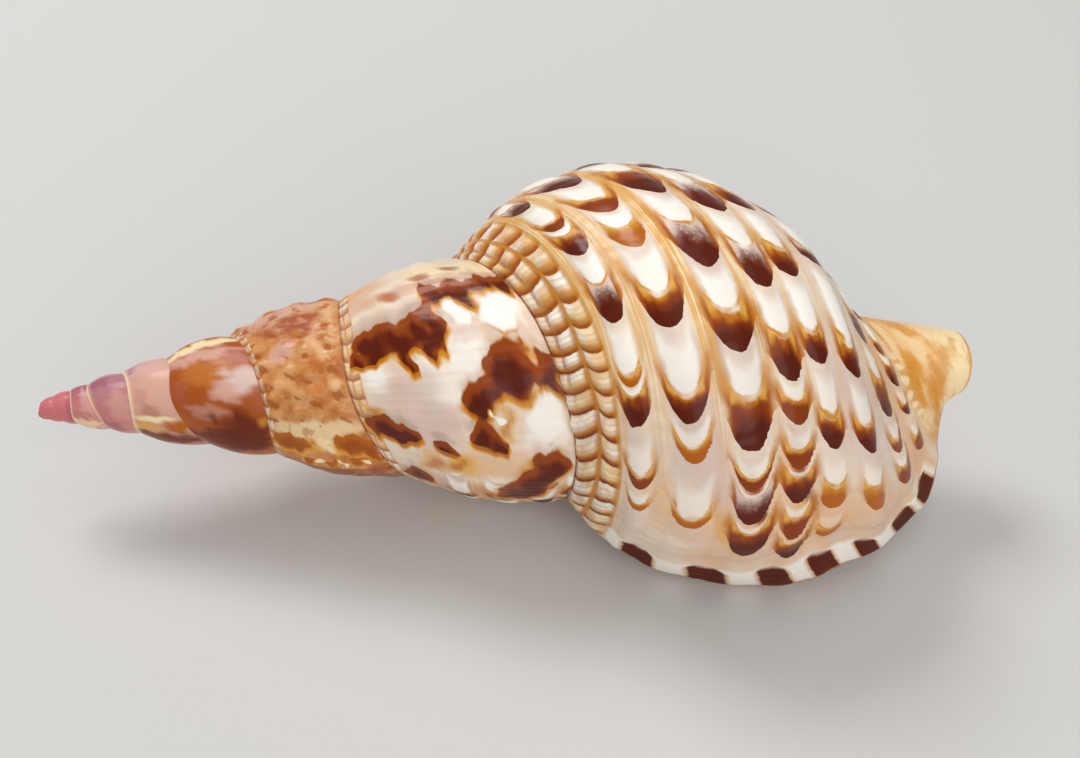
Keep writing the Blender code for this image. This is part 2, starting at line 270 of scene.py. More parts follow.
# blots of the older whorls: turn, across, half length in turns, half width
darkBlots = (
    (-1.348, 0.91, 0.018, 0.13), (-1.343, 0.74, 0.02, 0.1), (-1.33, 0.735, 0.016, 0.03),
    (-1.345, 0.6, 0.016, 0.09), (-1.3, 0.515, 0.034, 0.052), (-1.275, 0.47, 0.022, 0.03),
    (-1.295, 0.43, 0.02, 0.05), (-1.292, 0.2, 0.026, 0.12), (-1.292, 0.33, 0.022, 0.08),
    (-1.26, 0.355, 0.026, 0.028), (-1.272, 0.196, 0.012, 0.05), (-1.268, 0.08, 0.012, 0.05),
    (-1.234, 0.81, 0.034, 0.092), (-1.228, 0.73, 0.022, 0.06), (-1.224, 0.955, 0.03, 0.05),
    (-1.206, 0.63, 0.022, 0.08), (-1.158, 0.6, 0.018, 0.05), (-1.152, 0.665, 0.014, 0.04),
    (-1.16, 0.15, 0.02, 0.11), (-1.15, 0.24, 0.014, 0.06), (-1.14, 0.42, 0.008, 0.05),
    (-1.108, 0.88, 0.026, 0.09), (-1.082, 0.8, 0.026, 0.09), (-1.056, 0.72, 0.024, 0.12),
    (-1.06, 0.2, 0.022, 0.09),
    (-2.113, 0.22, 0.02, 0.2), (-2.118, 0.82, 0.02, 0.17), (-2.1, 0.96, 0.018, 0.06),
    (-2.076, 0.36, 0.008, 0.055), (-2.075, 0.57, 0.008, 0.055), (-2.078, 0.77, 0.008, 0.055),
    (-2.08, 0.94, 0.008, 0.045),
)
goldBlots = (
    (-1.172, 0.715, 0.02, 0.03), (-1.108, 0.34, 0.016, 0.055), (-1.112, 0.45, 0.012, 0.045),
    (-1.19, 0.1, 0.006, 0.05),
)
lightBlots = (
    (-1.309, 0.645, 0.016, 0.045), (-1.306, 0.86, 0.024, 0.1), (-1.18, 0.668, 0.005, 0.034),
    (-1.176, 0.9, 0.024, 0.08), (-2.076, 0.465, 0.006, 0.04), (-2.076, 0.67, 0.006, 0.04),
    (-2.079, 0.855, 0.006, 0.036),
)
# low blisters on the third whorl, each ending in a small brown pit: turn and across of the pit, size
blisters = (
    (-2.348, 0.1, 0.7), (-2.315, 0.1, 1.0), (-2.278, 0.11, 1.3), (-2.235, 0.14, 1.0), (-2.202, 0.14, 1.3),
    (-2.166, 0.11, 1.0), (-2.355, 0.36, 0.7), (-2.302, 0.4, 0.6), (-2.255, 0.4, 0.9), (-2.212, 0.42, 0.6),
    (-2.172, 0.4, 0.5), (-2.372, 0.62, 0.8), (-2.335, 0.6, 0.7), (-2.292, 0.62, 0.8), (-2.245, 0.61, 0.7),
    (-2.202, 0.63, 1.1), (-2.165, 0.62, 0.5), (-2.355, 0.86, 0.9), (-2.306, 0.87, 0.9), (-2.26, 0.89, 1.1),
    (-2.214, 0.89, 1.3), (-2.17, 0.87, 0.9),
)
# colours, red, green and blue up to 255
palette = {
    "white": (255, 249, 239),
    "pale": (240, 220, 198),
    "lilac": (224, 199, 186),
    "cream": (252, 228, 180),
    "honey": (230, 170, 76),
    "golden": (212, 144, 42),
    "amber": (184, 98, 18),
    "brown": (142, 58, 8),
    "dark": (92, 26, 2),
    "plum": (146, 108, 98),
    "peach": (236, 190, 140),
    "apricot": (232, 170, 112),
    "orange": (226, 158, 74),
    "caramel": (200, 122, 56),
    "rust": (172, 84, 30),
    "rustRed": (172, 88, 56),
    "mahogany": (104, 34, 6),
    "tan": (204, 136, 76),
    "blush": (218, 168, 150),
    "rose": (206, 130, 126),
    "pink": (222, 176, 170),
    "mauve": (180, 124, 130),
    "wine": (160, 84, 104),
    "ruby": (208, 118, 120),
}
# the ground: its colour along the turns, then soft patches of other colours on it
groundByTurn = (
    (-9.0, "ruby"), (-7.1, "ruby"), (-6.9, "rose"), (-6.5, "wine"), (-6.2, "rose"), (-5.9, "rose"),
    (-5.6, "mauve"), (-5.35, "mauve"), (-5.15, "rose"), (-4.9, "blush"), (-4.2, "blush"), (-3.9, "rust"),
    (-3.1, "rust"), (-2.9, "tan"), (-2.05, "tan"), (-1.9, "lilac"), (-1.6, "pale"), (0.0, "pale"),
)
groundPatches = (  # turn, across, half length, half width, colour, strength
    (-0.1, 1.00, 0.05, 0.45, "apricot", 0.5), (-0.075, 1.75, 0.05, 0.55, "apricot", 0.55),
    (-0.12, 0.86, 0.04, 0.05, "honey", 0.75), (-0.11, 1.28, 0.05, 0.06, "honey", 0.65),
    (-0.14, 0.55, 0.03, 0.08, "peach", 0.6), (-0.33, 1.15, 0.06, 0.12, "lilac", 0.8),
    # amber and brown patches in the gaps between bands near the lip: partly golden-brown colour, partly
    # painted shade between the raised bands
    (-0.13, 1.035, 0.03, 0.042, "amber", 0.95), (-0.134, 1.298, 0.038, 0.04, "amber", 0.95),
    (-0.13, 1.05, 0.022, 0.03, "brown", 0.6), (-0.13, 1.3, 0.026, 0.028, "brown", 0.6),
    (-0.228, 1.045, 0.022, 0.045, "brown", 0.9), (-0.258, 1.3, 0.02, 0.036, "brown", 0.8),
    (-0.2, 0.85, 0.06, 0.12, "lilac", 0.9), (-0.2, 1.75, 0.06, 0.2, "lilac", 0.7),
    (-0.3, 2.25, 0.12, 0.22, "peach", 0.8), (-0.18, 2.3, 0.08, 0.15, "peach", 0.7),
    (-0.08, 2.35, 0.06, 0.12, "apricot", 0.7), (-0.44, 0.3, 0.035, 0.25, "caramel", 0.8),
    (-1.42, 0.15, 0.045, 0.22, "apricot", 0.95), (-1.4, 0.75, 0.035, 0.3, "cream", 0.9),
    (-1.365, 0.6, 0.01, 0.7, "blush", 0.6), (-1.3, 0.5, 0.04, 0.3, "lilac", 0.6),
    (-1.362, 0.35, 0.008, 0.05, "amber", 0.8), (-1.378, 0.55, 0.008, 0.06, "amber", 0.8),
    (-1.391, 0.74, 0.008, 0.06, "brown", 0.8), (-1.325, 0.25, 0.02, 0.25, "plum", 0.3),
    (-1.24, 0.2, 0.026, 0.09, "white", 0.9),
    (-1.225, 0.48, 0.034, 0.13, "white", 0.9), (-1.26, 0.62, 0.026, 0.1, "white", 0.9),
    (-1.145, 0.85, 0.03, 0.12, "white", 0.8), (-1.1, 0.66, 0.018, 0.07, "lilac", 0.9),
    (-1.19, 0.35, 0.06, 0.18, "lilac", 0.9), (-1.11, 0.65, 0.035, 0.2, "peach", 0.8),
    (-1.11, 0.47, 0.02, 0.07, "honey", 0.8), (-1.05, 0.45, 0.03, 0.6, "brown", 0.6),
    (-2.44, 0.35, 0.04, 0.5, "blush", 0.9), (-2.375, 0.55, 0.03, 0.28, "rustRed", 0.95),
    (-2.39, 0.9, 0.035, 0.06, "peach", 0.8), (-2.335, 0.92, 0.02, 0.08, "peach", 0.8),
    (-2.31, 0.38, 0.022, 0.13, "blush", 0.9), (-2.25, 0.33, 0.02, 0.1, "apricot", 0.8),
    (-2.25, 0.72, 0.06, 0.1, "caramel", 0.7), (-2.3, 0.78, 0.02, 0.07, "peach", 0.7),
    (-2.235, 0.88, 0.01, 0.07, "peach", 0.8), (-2.15, 0.5, 0.02, 0.5, "cream", 0.75),
    (-2.12, 0.57, 0.018, 0.1, "cream", 0.95), (-2.115, 0.45, 0.015, 0.06, "honey", 0.9),
    (-2.00, 0.5, 0.055, 0.7, "brown", 0.9),
    (-3.41, 0.4, 0.022, 0.6, "cream", 1.0), (-3.36, 0.4, 0.025, 0.5, "blush", 0.95),
    (-3.3, 0.45, 0.04, 0.3, "caramel", 0.7), (-3.26, 0.12, 0.04, 0.12, "rustRed", 0.9),
    (-3.34, 0.88, 0.025, 0.12, "rustRed", 0.7), (-3.268, 0.85, 0.034, 0.24, "lilac", 0.98),
    (-3.24, 0.64, 0.026, 0.14, "blush", 0.95), (-3.19, 0.38, 0.022, 0.2, "blush", 0.45),
    (-3.13, 0.72, 0.055, 0.38, "mahogany", 0.95), (-3.08, 0.45, 0.045, 0.5, "mahogany", 0.9),
    (-3.16, 0.96, 0.015, 0.05, "golden", 0.8), (-3.15, 0.04, 0.03, 0.08, "amber", 0.7),
    (-4.42, 0.15, 0.08, 0.28, "mauve", 0.9), (-4.38, 0.5, 0.045, 0.35, "pink", 1.0),
    (-4.33, 0.45, 0.04, 0.25, "blush", 0.9), (-4.25, 0.32, 0.04, 0.15, "rose", 0.45),
    (-4.19, 0.48, 0.025, 0.2, "rustRed", 0.45), (-4.16, 0.4, 0.012, 0.4, "cream", 0.9),
    (-4.12, 0.3, 0.022, 0.3, "honey", 0.9), (-4.125, 0.82, 0.025, 0.22, "amber", 1.0),
    (-4.06, 0.5, 0.035, 0.6, "mahogany", 0.9),
    (-5.4, 0.3, 0.06, 0.3, "wine", 0.7), (-5.22, 0.75, 0.08, 0.3, "blush", 0.55),
    (-5.08, 0.3, 0.05, 0.4, "wine", 0.7), (-6.28, 0.8, 0.12, 0.25, "pink", 0.5),
    (-6.08, 0.4, 0.05, 0.6, "cream", 0.7), (-7.2, 0.9, 0.2, 0.2, "wine", 0.5),
)


def linear(rgb):
    return np.array([((c / 255 + 0.055) / 1.055) ** 2.4 for c in rgb])


def prepareRows():  # the counted edges of every band, listed marks and repeated ones together
    for k, row in enumerate(bandRows):
        listed = list(row["marks"])
        older = []
        for n in range(20, 0, -1):
            edge = listed[0][1] - markStep * n + 0.01 * math.sin(2.3 * n + 1.7 * k)
            older.append((edge - 0.031 - 0.006 * math.sin(4.1 * n + k), edge, "dmdbd"[(3 * n + k) % 5]))
        marks = older + listed + [(listed[-1][1] + 0.05, listed[-1][1] + 0.06, None)]
        knots, counts = [marks[0][0] - 0.03], [0.0]
        for n, (start, edge, kind) in enumerate(marks):
            knots += [start, edge]
            counts += [n + 0.5, n + 1.0]
        row["knots"], row["counts"] = knots, counts
        row["tones"] = np.array([kindTone.get(mark[2], 0.0) for mark in marks] + [0.0])
        row["mauves"] = np.array([float(mark[2] == "m") for mark in marks] + [0.0])


prepareRows()
beadKnots = [beadEdges[0] - beadStep * k for k in range(290, 0, -1)] + list(beadEdges)
beadKnots += [beadEdges[-1] + 0.035 * (k + 1) for k in range(5)]
cordTurns = [row[0] for row in beadCords]
cordPlaces = np.array([row[1:] for row in beadCords])
randomMarks = np.random.default_rng(7)
for whorlBack in (1, 2):   # blots on the side away from the listed ones
    for step in range(5):
        for k, (centre, width) in enumerate(((0.14, 0.1), (0.42, 0.05), (0.64, 0.09), (0.88, 0.09))):
            along, aside = randomMarks.uniform(-0.02, 0.02, 2)
            blotTurn, blotAcross = -whorlBack - 0.52 - 0.1 * step + along, centre + aside
            if whorlBack == 1 or (step + k) % 3 == 0:
                darkBlots += ((blotTurn, blotAcross, 0.024, width),)
                lightBlots += ((blotTurn - 0.042, blotAcross, 0.014, width * 0.8),)


def blotField(turn, across, blots):  # above 0 inside the blots, below 0 outside, smooth between
    total = np.full(across.shape, math.exp(-9.0))
    for t, v, length, width in blots:
        if abs(turn - t) < 3 * length + 0.01:
            along = turn + 0.0045 * np.sin(across * 41 + t * 90) + 0.003 * np.sin(across * 93 + t * 40)
            aside = across - v + 0.018 * math.sin(turn * 150 + v * 9)
            d = (along - t) / length
            ended = np.where(d < 0, 0.75 * d * d, d ** 2 + 1.5 * (d - 0.6).clip(0) ** 2)
            total = total + np.exp(3 - 3 * (ended + (aside / width) ** 2))
    return np.log(total) / 3


blisters += tuple((-2.42 - 0.045 * k, row, 1.0) for k in range(12) for row in (0.11, 0.38, 0.62, 0.88))
pitBlots = tuple((t, v, 0.006 * size, 0.05 * size) for t, v, size in blisters)
turnStops = [stop[0] for stop in groundByTurn]
colourStops = np.array([linear(palette[stop[1]]) for stop in groundByTurn])


def groundColour(turn, across):
    base = np.array([np.interp(turn, turnStops, colourStops[:, c]) for c in range(3)])
    base = np.tile(base, (len(across), 1))
    for t, v, length, width, name, strength in groundPatches:
        if abs(turn - t) < 2 * length:
            along = (turn - t) / length + 0.22 * np.sin(across * 19 + t * 30) + 0.12 * np.sin(across * 47)
            aside = (across - v) / width + 0.2 * math.sin(turn * 110 + v * 8) + 0.1 * math.sin(turn * 290)
            weight = strength * (1 - ramp(along ** 2 + aside ** 2, 0.25, 1.8))[:, None]
            base = base * (1 - weight) + linear(palette[name]) * weight
    cream = linear(palette["cream"])
    if -6.9 < turn < -3.9:       # pale line along the old sutures
        weight = (0.85 * (1 - ramp(across, 0.03, 0.11)))[:, None]
        base = base * (1 - weight) + cream * weight
    canal = (ramp(across, 2.42, 2.62) * float(turn > -1))[:, None]
    paleEnd = ramp(across, 2.8, 2.93)[:, None]
    return base * (1 - canal) + canal * (linear(palette["orange"]) * (1 - paleEnd) + cream * paleEnd)


def sculpture(turn, across):  # what rides on the plain surface along one growth line
    wave = 0.24 * (1 - math.cos(2 * math.pi * (max(turn, -0.45) + 0.26) / plan["varixStep"]))
    wave = wave * ramp(turn, -0.85, -0.5) * window(across, 0.0, 0.5, 1.2, 2.0)
    band = across * (1 + (upperScale - 1) * (1 - ramp(turn, -1.0, -0.45))) + wave
    marks = {"turn": np.full(across.shape, turn), "across": across, "band": band}
    younger = ramp(turn, -1.12, -1.02)     # the older whorls have blots instead
    for name, rows in (("even", bandRows[0::2]), ("odd", bandRows[1::2])):
        side = np.full(across.shape, 9.0)
        count, tone, mauve = np.zeros(across.shape), np.zeros(across.shape), np.zeros(across.shape)
        for row in rows:
            centre, half = row["across"]
            d = np.abs(band - centre) / half
            near = d < side
            found = np.interp(turn + 0.15 * half * np.minimum(d, 1.3) ** 2.4, row["knots"], row["counts"])
            index = np.clip(np.floor(found - 0.25).astype(int), 0, len(row["tones"]) - 1)
            side, count = np.where(near, d, side), np.where(near, found, count)
            tone = np.where(near, row["tones"][index], tone)
            mauve = np.where(near, row["mauves"][index], mauve)
        marks[name + "Side"] = np.minimum(side, 3.0)
        marks[name + "Count"], marks[name + "Tone"], marks[name + "Mauve"] = count, tone * younger, mauve
    cord, gilt = np.full(across.shape, -2.0), np.zeros(across.shape)
    first, second = hermite(cordTurns, cordPlaces, turn)
    edges = [(across, first, 0.016, 0.9), (across, second, 0.036 + 0.01 * (second > 0.3), 0.9)]
    for along, centre, half, golden in edges + [(band,) + row for row in cords]:
        c = 1 - np.abs(along - centre) / half
        gilt = np.where(c > cord, golden, gilt)
        cord = np.maximum(cord, c)
    gilt = gilt * np.where(band < 0.55, 1.0, 1 - 0.75 * ramp(turn, -0.24, -0.12))
    marks["cord"], marks["gilt"] = cord, gilt * (0.15 + 0.85 * younger) * ramp(turn, -2.2, -1.8)
    inRow = np.where(across < first, across / first, 1 + (across - first) / (second - first))
    marks["beadRow"] = np.minimum(inRow, 3.0)
    sag = 0.006 * (2 * (inRow - np.floor(np.minimum(inRow, 1.9))) - 1) ** 2
    lean = turn + 1.2 * max(turn + 0.26, 0) * np.minimum(across, 0.25) + np.where(inRow < 2, sag, 0.006)
    marks["bead"] = np.interp(lean, beadKnots, np.arange(float(len(beadKnots))))
    beadTone = np.interp(turn, (-2.9, -2.6, -2.0, -1.1, -1.0), (0, 0.5, 0.6, 0.85, 1))
    marks["beadTone"] = np.full(across.shape, float(beadTone))
    for name, shift in (("dark", 0.0), ("gild", -0.007), ("veil", 0.014)):
        marks[name] = blotField(turn + shift, across, darkBlots)
    for name, blots in (("gold", goldBlots), ("pit", pitBlots), ("light", lightBlots)):
        marks[name] = blotField(turn, across, blots)
    marks["bar"] = np.max([1 - np.abs(across - c) / h for c, h in lipBars], axis=0)
    return marks


def relief(turn, across, marks):  # height above the plain surface, millimetres
    band, inRow = marks["band"], marks["beadRow"]
    size = math.exp(growthRate * turn)
    smooth = 1 - ramp(-turn, 2.75, 3.0)       # the oldest whorls are worn smooth
    rib = plan["ribHeight"] * (1 - np.minimum(np.minimum(marks["evenSide"], marks["oddSide"]), 1.0) ** 2.2)
    h = rib * (1 if turn > -1 else 0.45)
    threadsAlong = 1 + 0.5 * np.cos(band * 2 * math.pi / 0.021)
    h = h + plan["cordHeight"] * np.sqrt(np.clip(marks["cord"], 0, 1)) * threadsAlong
    # beads: two knobs each on the older part of the last whorl, straight bars near the lip
    order = np.floor(marks["bead"])
    part = marks["bead"] - order
    knob = (1 - np.abs(2 * part - 0.94) ** 2.6).clip(0, 1)
    bars = ramp(turn, -0.27, -0.18)
    x = np.clip(inRow, 0, 1)
    knuckles = 0.6 * bell(x, 0.22, 0.13) + bell(x, 0.68, 0.2)
    flat = 0.85 * window(x, 0.02, 0.14, 0.84, 0.98)
    rowA = (knuckles * (1 - bars) + flat * bars) * (inRow < 1)
    y = np.clip(inRow - 1, 0, 1)
    rowB = window(y, 0.06, 0.3, 0.52, 0.8)
    last = ramp(turn, -1.1, -0.95)
    fade = (1 - 0.35 * ramp(turn, -0.22, -0.05)) * (0.45 + 0.55 * last)
    threads = np.cos(2 * math.pi * 3 * part) * (rowA + rowB) * (0.05 + 0.07 * bars)
    uneven = 1 + 0.22 * np.sin(order * 2.4 + np.floor(inRow) * 1.3)
    beads = plan["firstBeadHeight"] * rowA + plan["secondBeadHeight"] * last * rowB
    h = h + beads * knob * fade * uneven + threads
    swell = np.zeros(across.shape)
    for k, (centre, width) in enumerate(((0.3, 0.06), (0.46, 0.07), (0.66, 0.09), (0.87, 0.09))):
        pulse = math.cos(2 * math.pi * (turn / 0.062 + 0.23 * k))
        swell = swell + bell(across, centre, width) * (0.5 + 0.5 * pulse)
    h = h + (1 - last) * (1 - ramp(-turn, 1.95, 2.05)) * swell
    for t, v, height in blisters:
        if abs(turn - t) < 0.06:
            blister = plan["blisterHeight"] * height * bell(turn, t - 0.016, 0.012) * bell(across, v, 0.085)
            pit = plan["pitDepth"] * height * bell(turn, t + 0.002, 0.006) * bell(across, v, 0.05)
            h = h + blister - pit
    h = h * smooth
    growthLines = math.sin(turn * 2 * math.pi / 0.0127 + 2.0 * math.sin(turn * 41.0))
    h = h + plan["growthLineHeight"] * growthLines * ramp(across, 0.0, 0.3)
    behindLip = bell(turn, -0.062, 0.012) * window(across, 0.3, 0.7, 2.2, 2.6)
    h = h - plan["lipGroove"] * behindLip
    h = h * (1 - 0.6 * ramp(turn, -0.03, 0.0))
    groove = plan["sutureGroove"] * smooth * bell(across, 0.01, 0.008) * (across > 0)
    h = h * ramp(across, 0.0, 0.03) - groove
    covered = (1 - ramp(turn, -1.0, -0.95)) * ramp(across, 0.95, 1.0)
    return h * size * (1 - covered) * (1 - ramp(across, 2.5, 2.95))


def outside(turn, across, marks=None):
    p, n = profile(turn, across)
    if marks is not None:
        p = p + n * relief(turn, across, marks)[:, None]
    return place(p, turn, across)


def shrink(turn, across):  # draws the base of the inner wall together where the whorl above covers it
    share = 1.0 - 0.38 * ramp(-turn, 0.5, 1.05)
    return np.where(across > 1.3, 1.3 + (across - 1.3) * share, across)


class Skin:
    def __init__(self):
        self.points = []
        self.values = []
        self.faces = []

    def row(self, points, values):
        first = len(self.points)
        self.points.extend(points)
        self.values.extend(values)
        return list(range(first, len(self.points)))

    def strip(self, a, b):
        self.faces.extend((a[j], a[j + 1], b[j + 1], b[j]) for j in range(len(a) - 1))

    def sheet(self, rows):
        for a, b in zip(rows, rows[1:]):
            self.strip(a, b)

    def fan(self, loop, tip):
        self.faces.extend((a, b, tip) for a, b in zip(loop, loop[1:] + loop[:1]))

    def join(self, a, placesA, b, placesB):  # joins two lines with different numbers of points
        i = j = 0
        while i < len(a) - 1 or j < len(b) - 1:
            if j == len(b) - 1 or (i < len(a) - 1 and placesA[i + 1] <= placesB[j + 1]):
                self.faces.append((a[i], a[i + 1], b[j]))
                i += 1
            else:
                self.faces.append((a[i], b[j + 1], b[j]))
                j += 1


attributeNames = ("turn", "across", "band", "beadRow", "evenSide", "evenCount", "evenTone", "evenMauve",
                  "oddSide", "oddCount", "oddTone", "oddMauve", "cord", "gilt", "bead", "beadTone", "dark",
                  "gild", "veil", "gold", "light", "pit", "bar")


def rowValues(turn, across, marks, face):  # numbers for the finish: marks, kind of face, ground colour
    table = [marks[name] for name in attributeNames] + [np.full(len(across), float(face))]
    return np.column_stack(table + [groundColour(turn, across)]).tolist()


def outerRow(skin, turn, across, face=0.0):
    marks = sculpture(turn, across)
    return skin.row(outside(turn, across, marks).tolist(), rowValues(turn, across, marks, face))


def columns(count):  # finer beside the upper suture
    return np.concatenate([[0.0, 0.009, 0.019, 0.032], np.linspace(0.05, 1.0, count - 4)])


def turnFractions(coarse):
    back = np.arange(0.0, 0.5, plan["hiddenStep"])
    front = np.arange(0.5, 1.0 - 1e-9, plan["visibleStep"])
    rows = np.concatenate([back, front])
    return rows[::2] if coarse else rows


def closeTip(skin, tipRow, tipLoop):  # worn tip, a low rounded cap
    start = outside(1.0 - plan["whorls"], np.array([0.0]))[0]
    closing = skin.row([start.tolist()], [skin.values[tipLoop[-1]]])
    ring = tipLoop + closing + tipRow[-2:0:-1]
    centre = np.mean([skin.points[i] for i in ring], axis=0)
    outward = np.array([-plan["tipHeight"], 0, 0])
    rim, values = np.array([skin.points[i] for i in ring]), [skin.values[i] for i in ring]
    for r in (0.75, 0.45, 0.2):
        new = skin.row((centre + (rim - centre) * r + outward * math.sqrt(1 - r * r)).tolist(), values)
        skin.strip(ring + ring[:1], new + new[:1])
        ring = new
    skin.fan(ring, skin.row([(centre + outward).tolist()], values[:1])[0])


def buildSkin():
    skin = Skin()
    corner = 1.0 + plan["corner"]
    upper, lower = plan["bodyAcross"]
    bodyAcross = np.concatenate([columns(upper), np.linspace(1.0, corner, 7)[1:],
                                 np.linspace(corner, 3.0, lower)[1:]])
    lastIds = None
    for whorl in range(plan["whorls"], 1, -1):
        count = plan["whorlAcross"][whorl - 2]
        across = columns(count) if whorl < 5 else np.linspace(0, 1, count)
        wide = whorl == 4                      # its lower edge meets a whorl with finer steps
        cut = across[:-1] if wide else across
        ids = [outerRow(skin, f - whorl, cut) for f in turnFractions(whorl > 3)]
        if lastIds is None:
            tipRow, tipLoop = ids[0], [row[0] for row in ids]
        else:
            skin.join(lastIds, lastAcross, ids[0], cut)
        skin.sheet(ids)
        lastIds, lastAcross = ids[-1], list(across)
        if wide:
            fine = list(turnFractions(False)) + [1.0]
            edge = [outerRow(skin, f - whorl, np.array([1.0]))[0] for f in fine]
            skin.join([row[-1] for row in ids], list(turnFractions(True)), edge, fine)
            lastIds = ids[-1] + [edge[-1]]
    # body whorl, base, neck and canal in one sheet
    bodyTurns = list(turnFractions(False) - 1.0) + [0.0]
    body = [outerRow(skin, t, bodyAcross) for t in bodyTurns]
    skin.join(lastIds, lastAcross, body[0][:upper], list(bodyAcross[:upper]))
    skin.sheet(body)
    closeTip(skin, tipRow, tipLoop)
    addHollow(skin, body, bodyTurns, bodyAcross)
    return skin


def columellaRelief(turn, across):  # folds that wind along the columella, inside the mouth
    folds = np.sin(across * 2 * math.pi / 0.055 + turn * 9.0) * window(across, 1.22, 1.4, 2.3, 2.7)
    return plan["foldHeight"] * folds * window(-turn, 1.0, 1.04, 1.45, 1.7)


def lipTeeth(turn, across):  # pairs of low teeth inside the lip
    teeth = np.clip(np.sin(across * 2 * math.pi / 0.135), 0, 1) ** 0.8
    return plan["toothHeight"] * teeth * bell(turn, -0.022, 0.014) * window(across, 0.25, 0.45, 2.1, 2.4)


def innerRow(skin, turn, across):
    vs = shrink(turn, across)
    p, n = profile(turn, vs)
    depth = wallThickness(turn, vs) + lipTeeth(turn, vs)
    points = place(p - n * depth[:, None], turn, vs)
    points[0] = outside(turn - 1.0, np.array([1.0 + plan["corner"]]))[0]
    return skin.row(points.tolist(), rowValues(turn, across, sculpture(turn, across), 1.0))


def floorRow(skin, turn, across):
    t = turn - 1.0
    marks = sculpture(t, across)
    p, n = profile(t, across)
    lift = relief(t, across, marks) * (1 - ramp(-t, 1.0, 1.06)) + columellaRelief(t, across)
    return skin.row(place(p + n * lift[:, None], t, across).tolist(), rowValues(t, across, marks, 2.0))


def addHollow(skin, body, bodyTurns, bodyAcross):
    openTurns, corner = plan["canalOpenTurns"], 1.0 + plan["corner"]
    near = [-k * plan["visibleStep"] for k in range(28)]
    middle = list(np.arange(near[-1] - plan["innerStep"] / 2, -openTurns - 1e-9, -plan["innerStep"]))
    middle = [t for t in middle if t > -openTurns + 0.003] + [-openTurns]
    deep = list(np.arange(-openTurns - plan["deepStep"], -plan["hollowTurns"], -plan["deepStep"]))
    wallAcross = np.concatenate([np.linspace(0, 1, 18), np.linspace(1, 3, 32)[1:]])
    floorNear = bodyAcross[bodyAcross > corner - 1e-6][::-1]
    floorAcross = np.linspace(3.0, corner, 30)
    walls = [innerRow(skin, t, bodyAcross) for t in near]
    floors = [floorRow(skin, t, floorNear) for t in near]
    wallRest = [innerRow(skin, t, wallAcross) for t in middle + deep]
    floorRest = [floorRow(skin, t, floorAcross) for t in middle + deep]
    skin.join(walls[-1], list(bodyAcross), wallRest[0], list(wallAcross))
    skin.join(floors[-1], list(-floorNear), floorRest[0], list(-floorAcross))
    for rows in (walls, floors, wallRest, floorRest):
        skin.sheet(rows)
    walls += wallRest
    floors += floorRest
    opened = len(near) + len(middle) - 1
    skin.strip([row[-1] for row in walls[opened:]], [row[0] for row in floors[opened:]])
    # where the hollow narrows to nothing, deep in the spire
    loop = walls[-1] + floors[-1][1:-1]
    centre = np.mean([skin.points[i] for i in loop], axis=0)
    skin.fan(loop, skin.row([centre.tolist()], [skin.values[loop[0]]])[0])
    addRim(skin, body, bodyTurns, bodyAcross, walls, floors, near + middle, opened)


# the rounded edge of the lip and the canal
def addRim(skin, body, bodyTurns, bodyAcross, walls, floors, innerTurns, opened):
    forward = np.array([1.0, 0.0, 0.0])
    ahead = outside(0.004, bodyAcross) - outside(0.0, bodyAcross)
    ahead /= np.linalg.norm(ahead, axis=-1, keepdims=True)
    turnOver = ramp(bodyAcross, 2.5, 3.0)[:, None]
    ahead = ahead * (1 - turnOver) + forward * turnOver
    # stations round the edge: outer point, inner point, direction of the rim, numbers for the finish
    stations = [(np.array(skin.points[o]), np.array(skin.points[i]), direction, skin.values[o])
                for o, i, direction in zip(body[-1], walls[0], ahead)]
    canalInner = [row[-1] for row in walls[1:opened + 1]] + [row[0] for row in floors[opened::-1]]
    canalTurns = innerTurns[1:opened + 1] + [-1.0 - t for t in innerTurns[opened::-1]]
    end = np.array([3.0])
    for i, t in zip(canalInner, canalTurns):
        values = rowValues(t, end, sculpture(t, end), 0.0)[0]
        stations.append((outside(t, end)[0], np.array(skin.points[i]), forward, values))
    ids = []
    for k, angle in enumerate(math.pi * n / 6 for n in range(1, 6)):
        points = []
        for a, b, direction, value in stations:
            reach = min(0.4 * np.linalg.norm(a - b), 1.4) * math.sin(angle)
            middle = (a + b) / 2
            points.append((middle + (a - middle) * math.cos(angle) + direction * reach).tolist())
        # at the corner of the mouth the rim runs out on the whorl above
        points[0] = skin.points[body[0][plan["bodyAcross"][0] + k]]
        ids.append(skin.row(points, [value[:-4] + [3.0] + value[-3:] for *_, value in stations]))
    lipCount = len(bodyAcross)
    skin.strip(body[-1], ids[0][:lipCount])
    outerEdge, outerPlaces = [row[-1] for row in body[::-1]], [-t for t in bodyTurns[::-1]]
    skin.join(outerEdge, outerPlaces, ids[0][lipCount - 1:], [0.0] + [-t for t in canalTurns])
    skin.sheet(ids)
    skin.strip(ids[-1], walls[0] + canalInner)


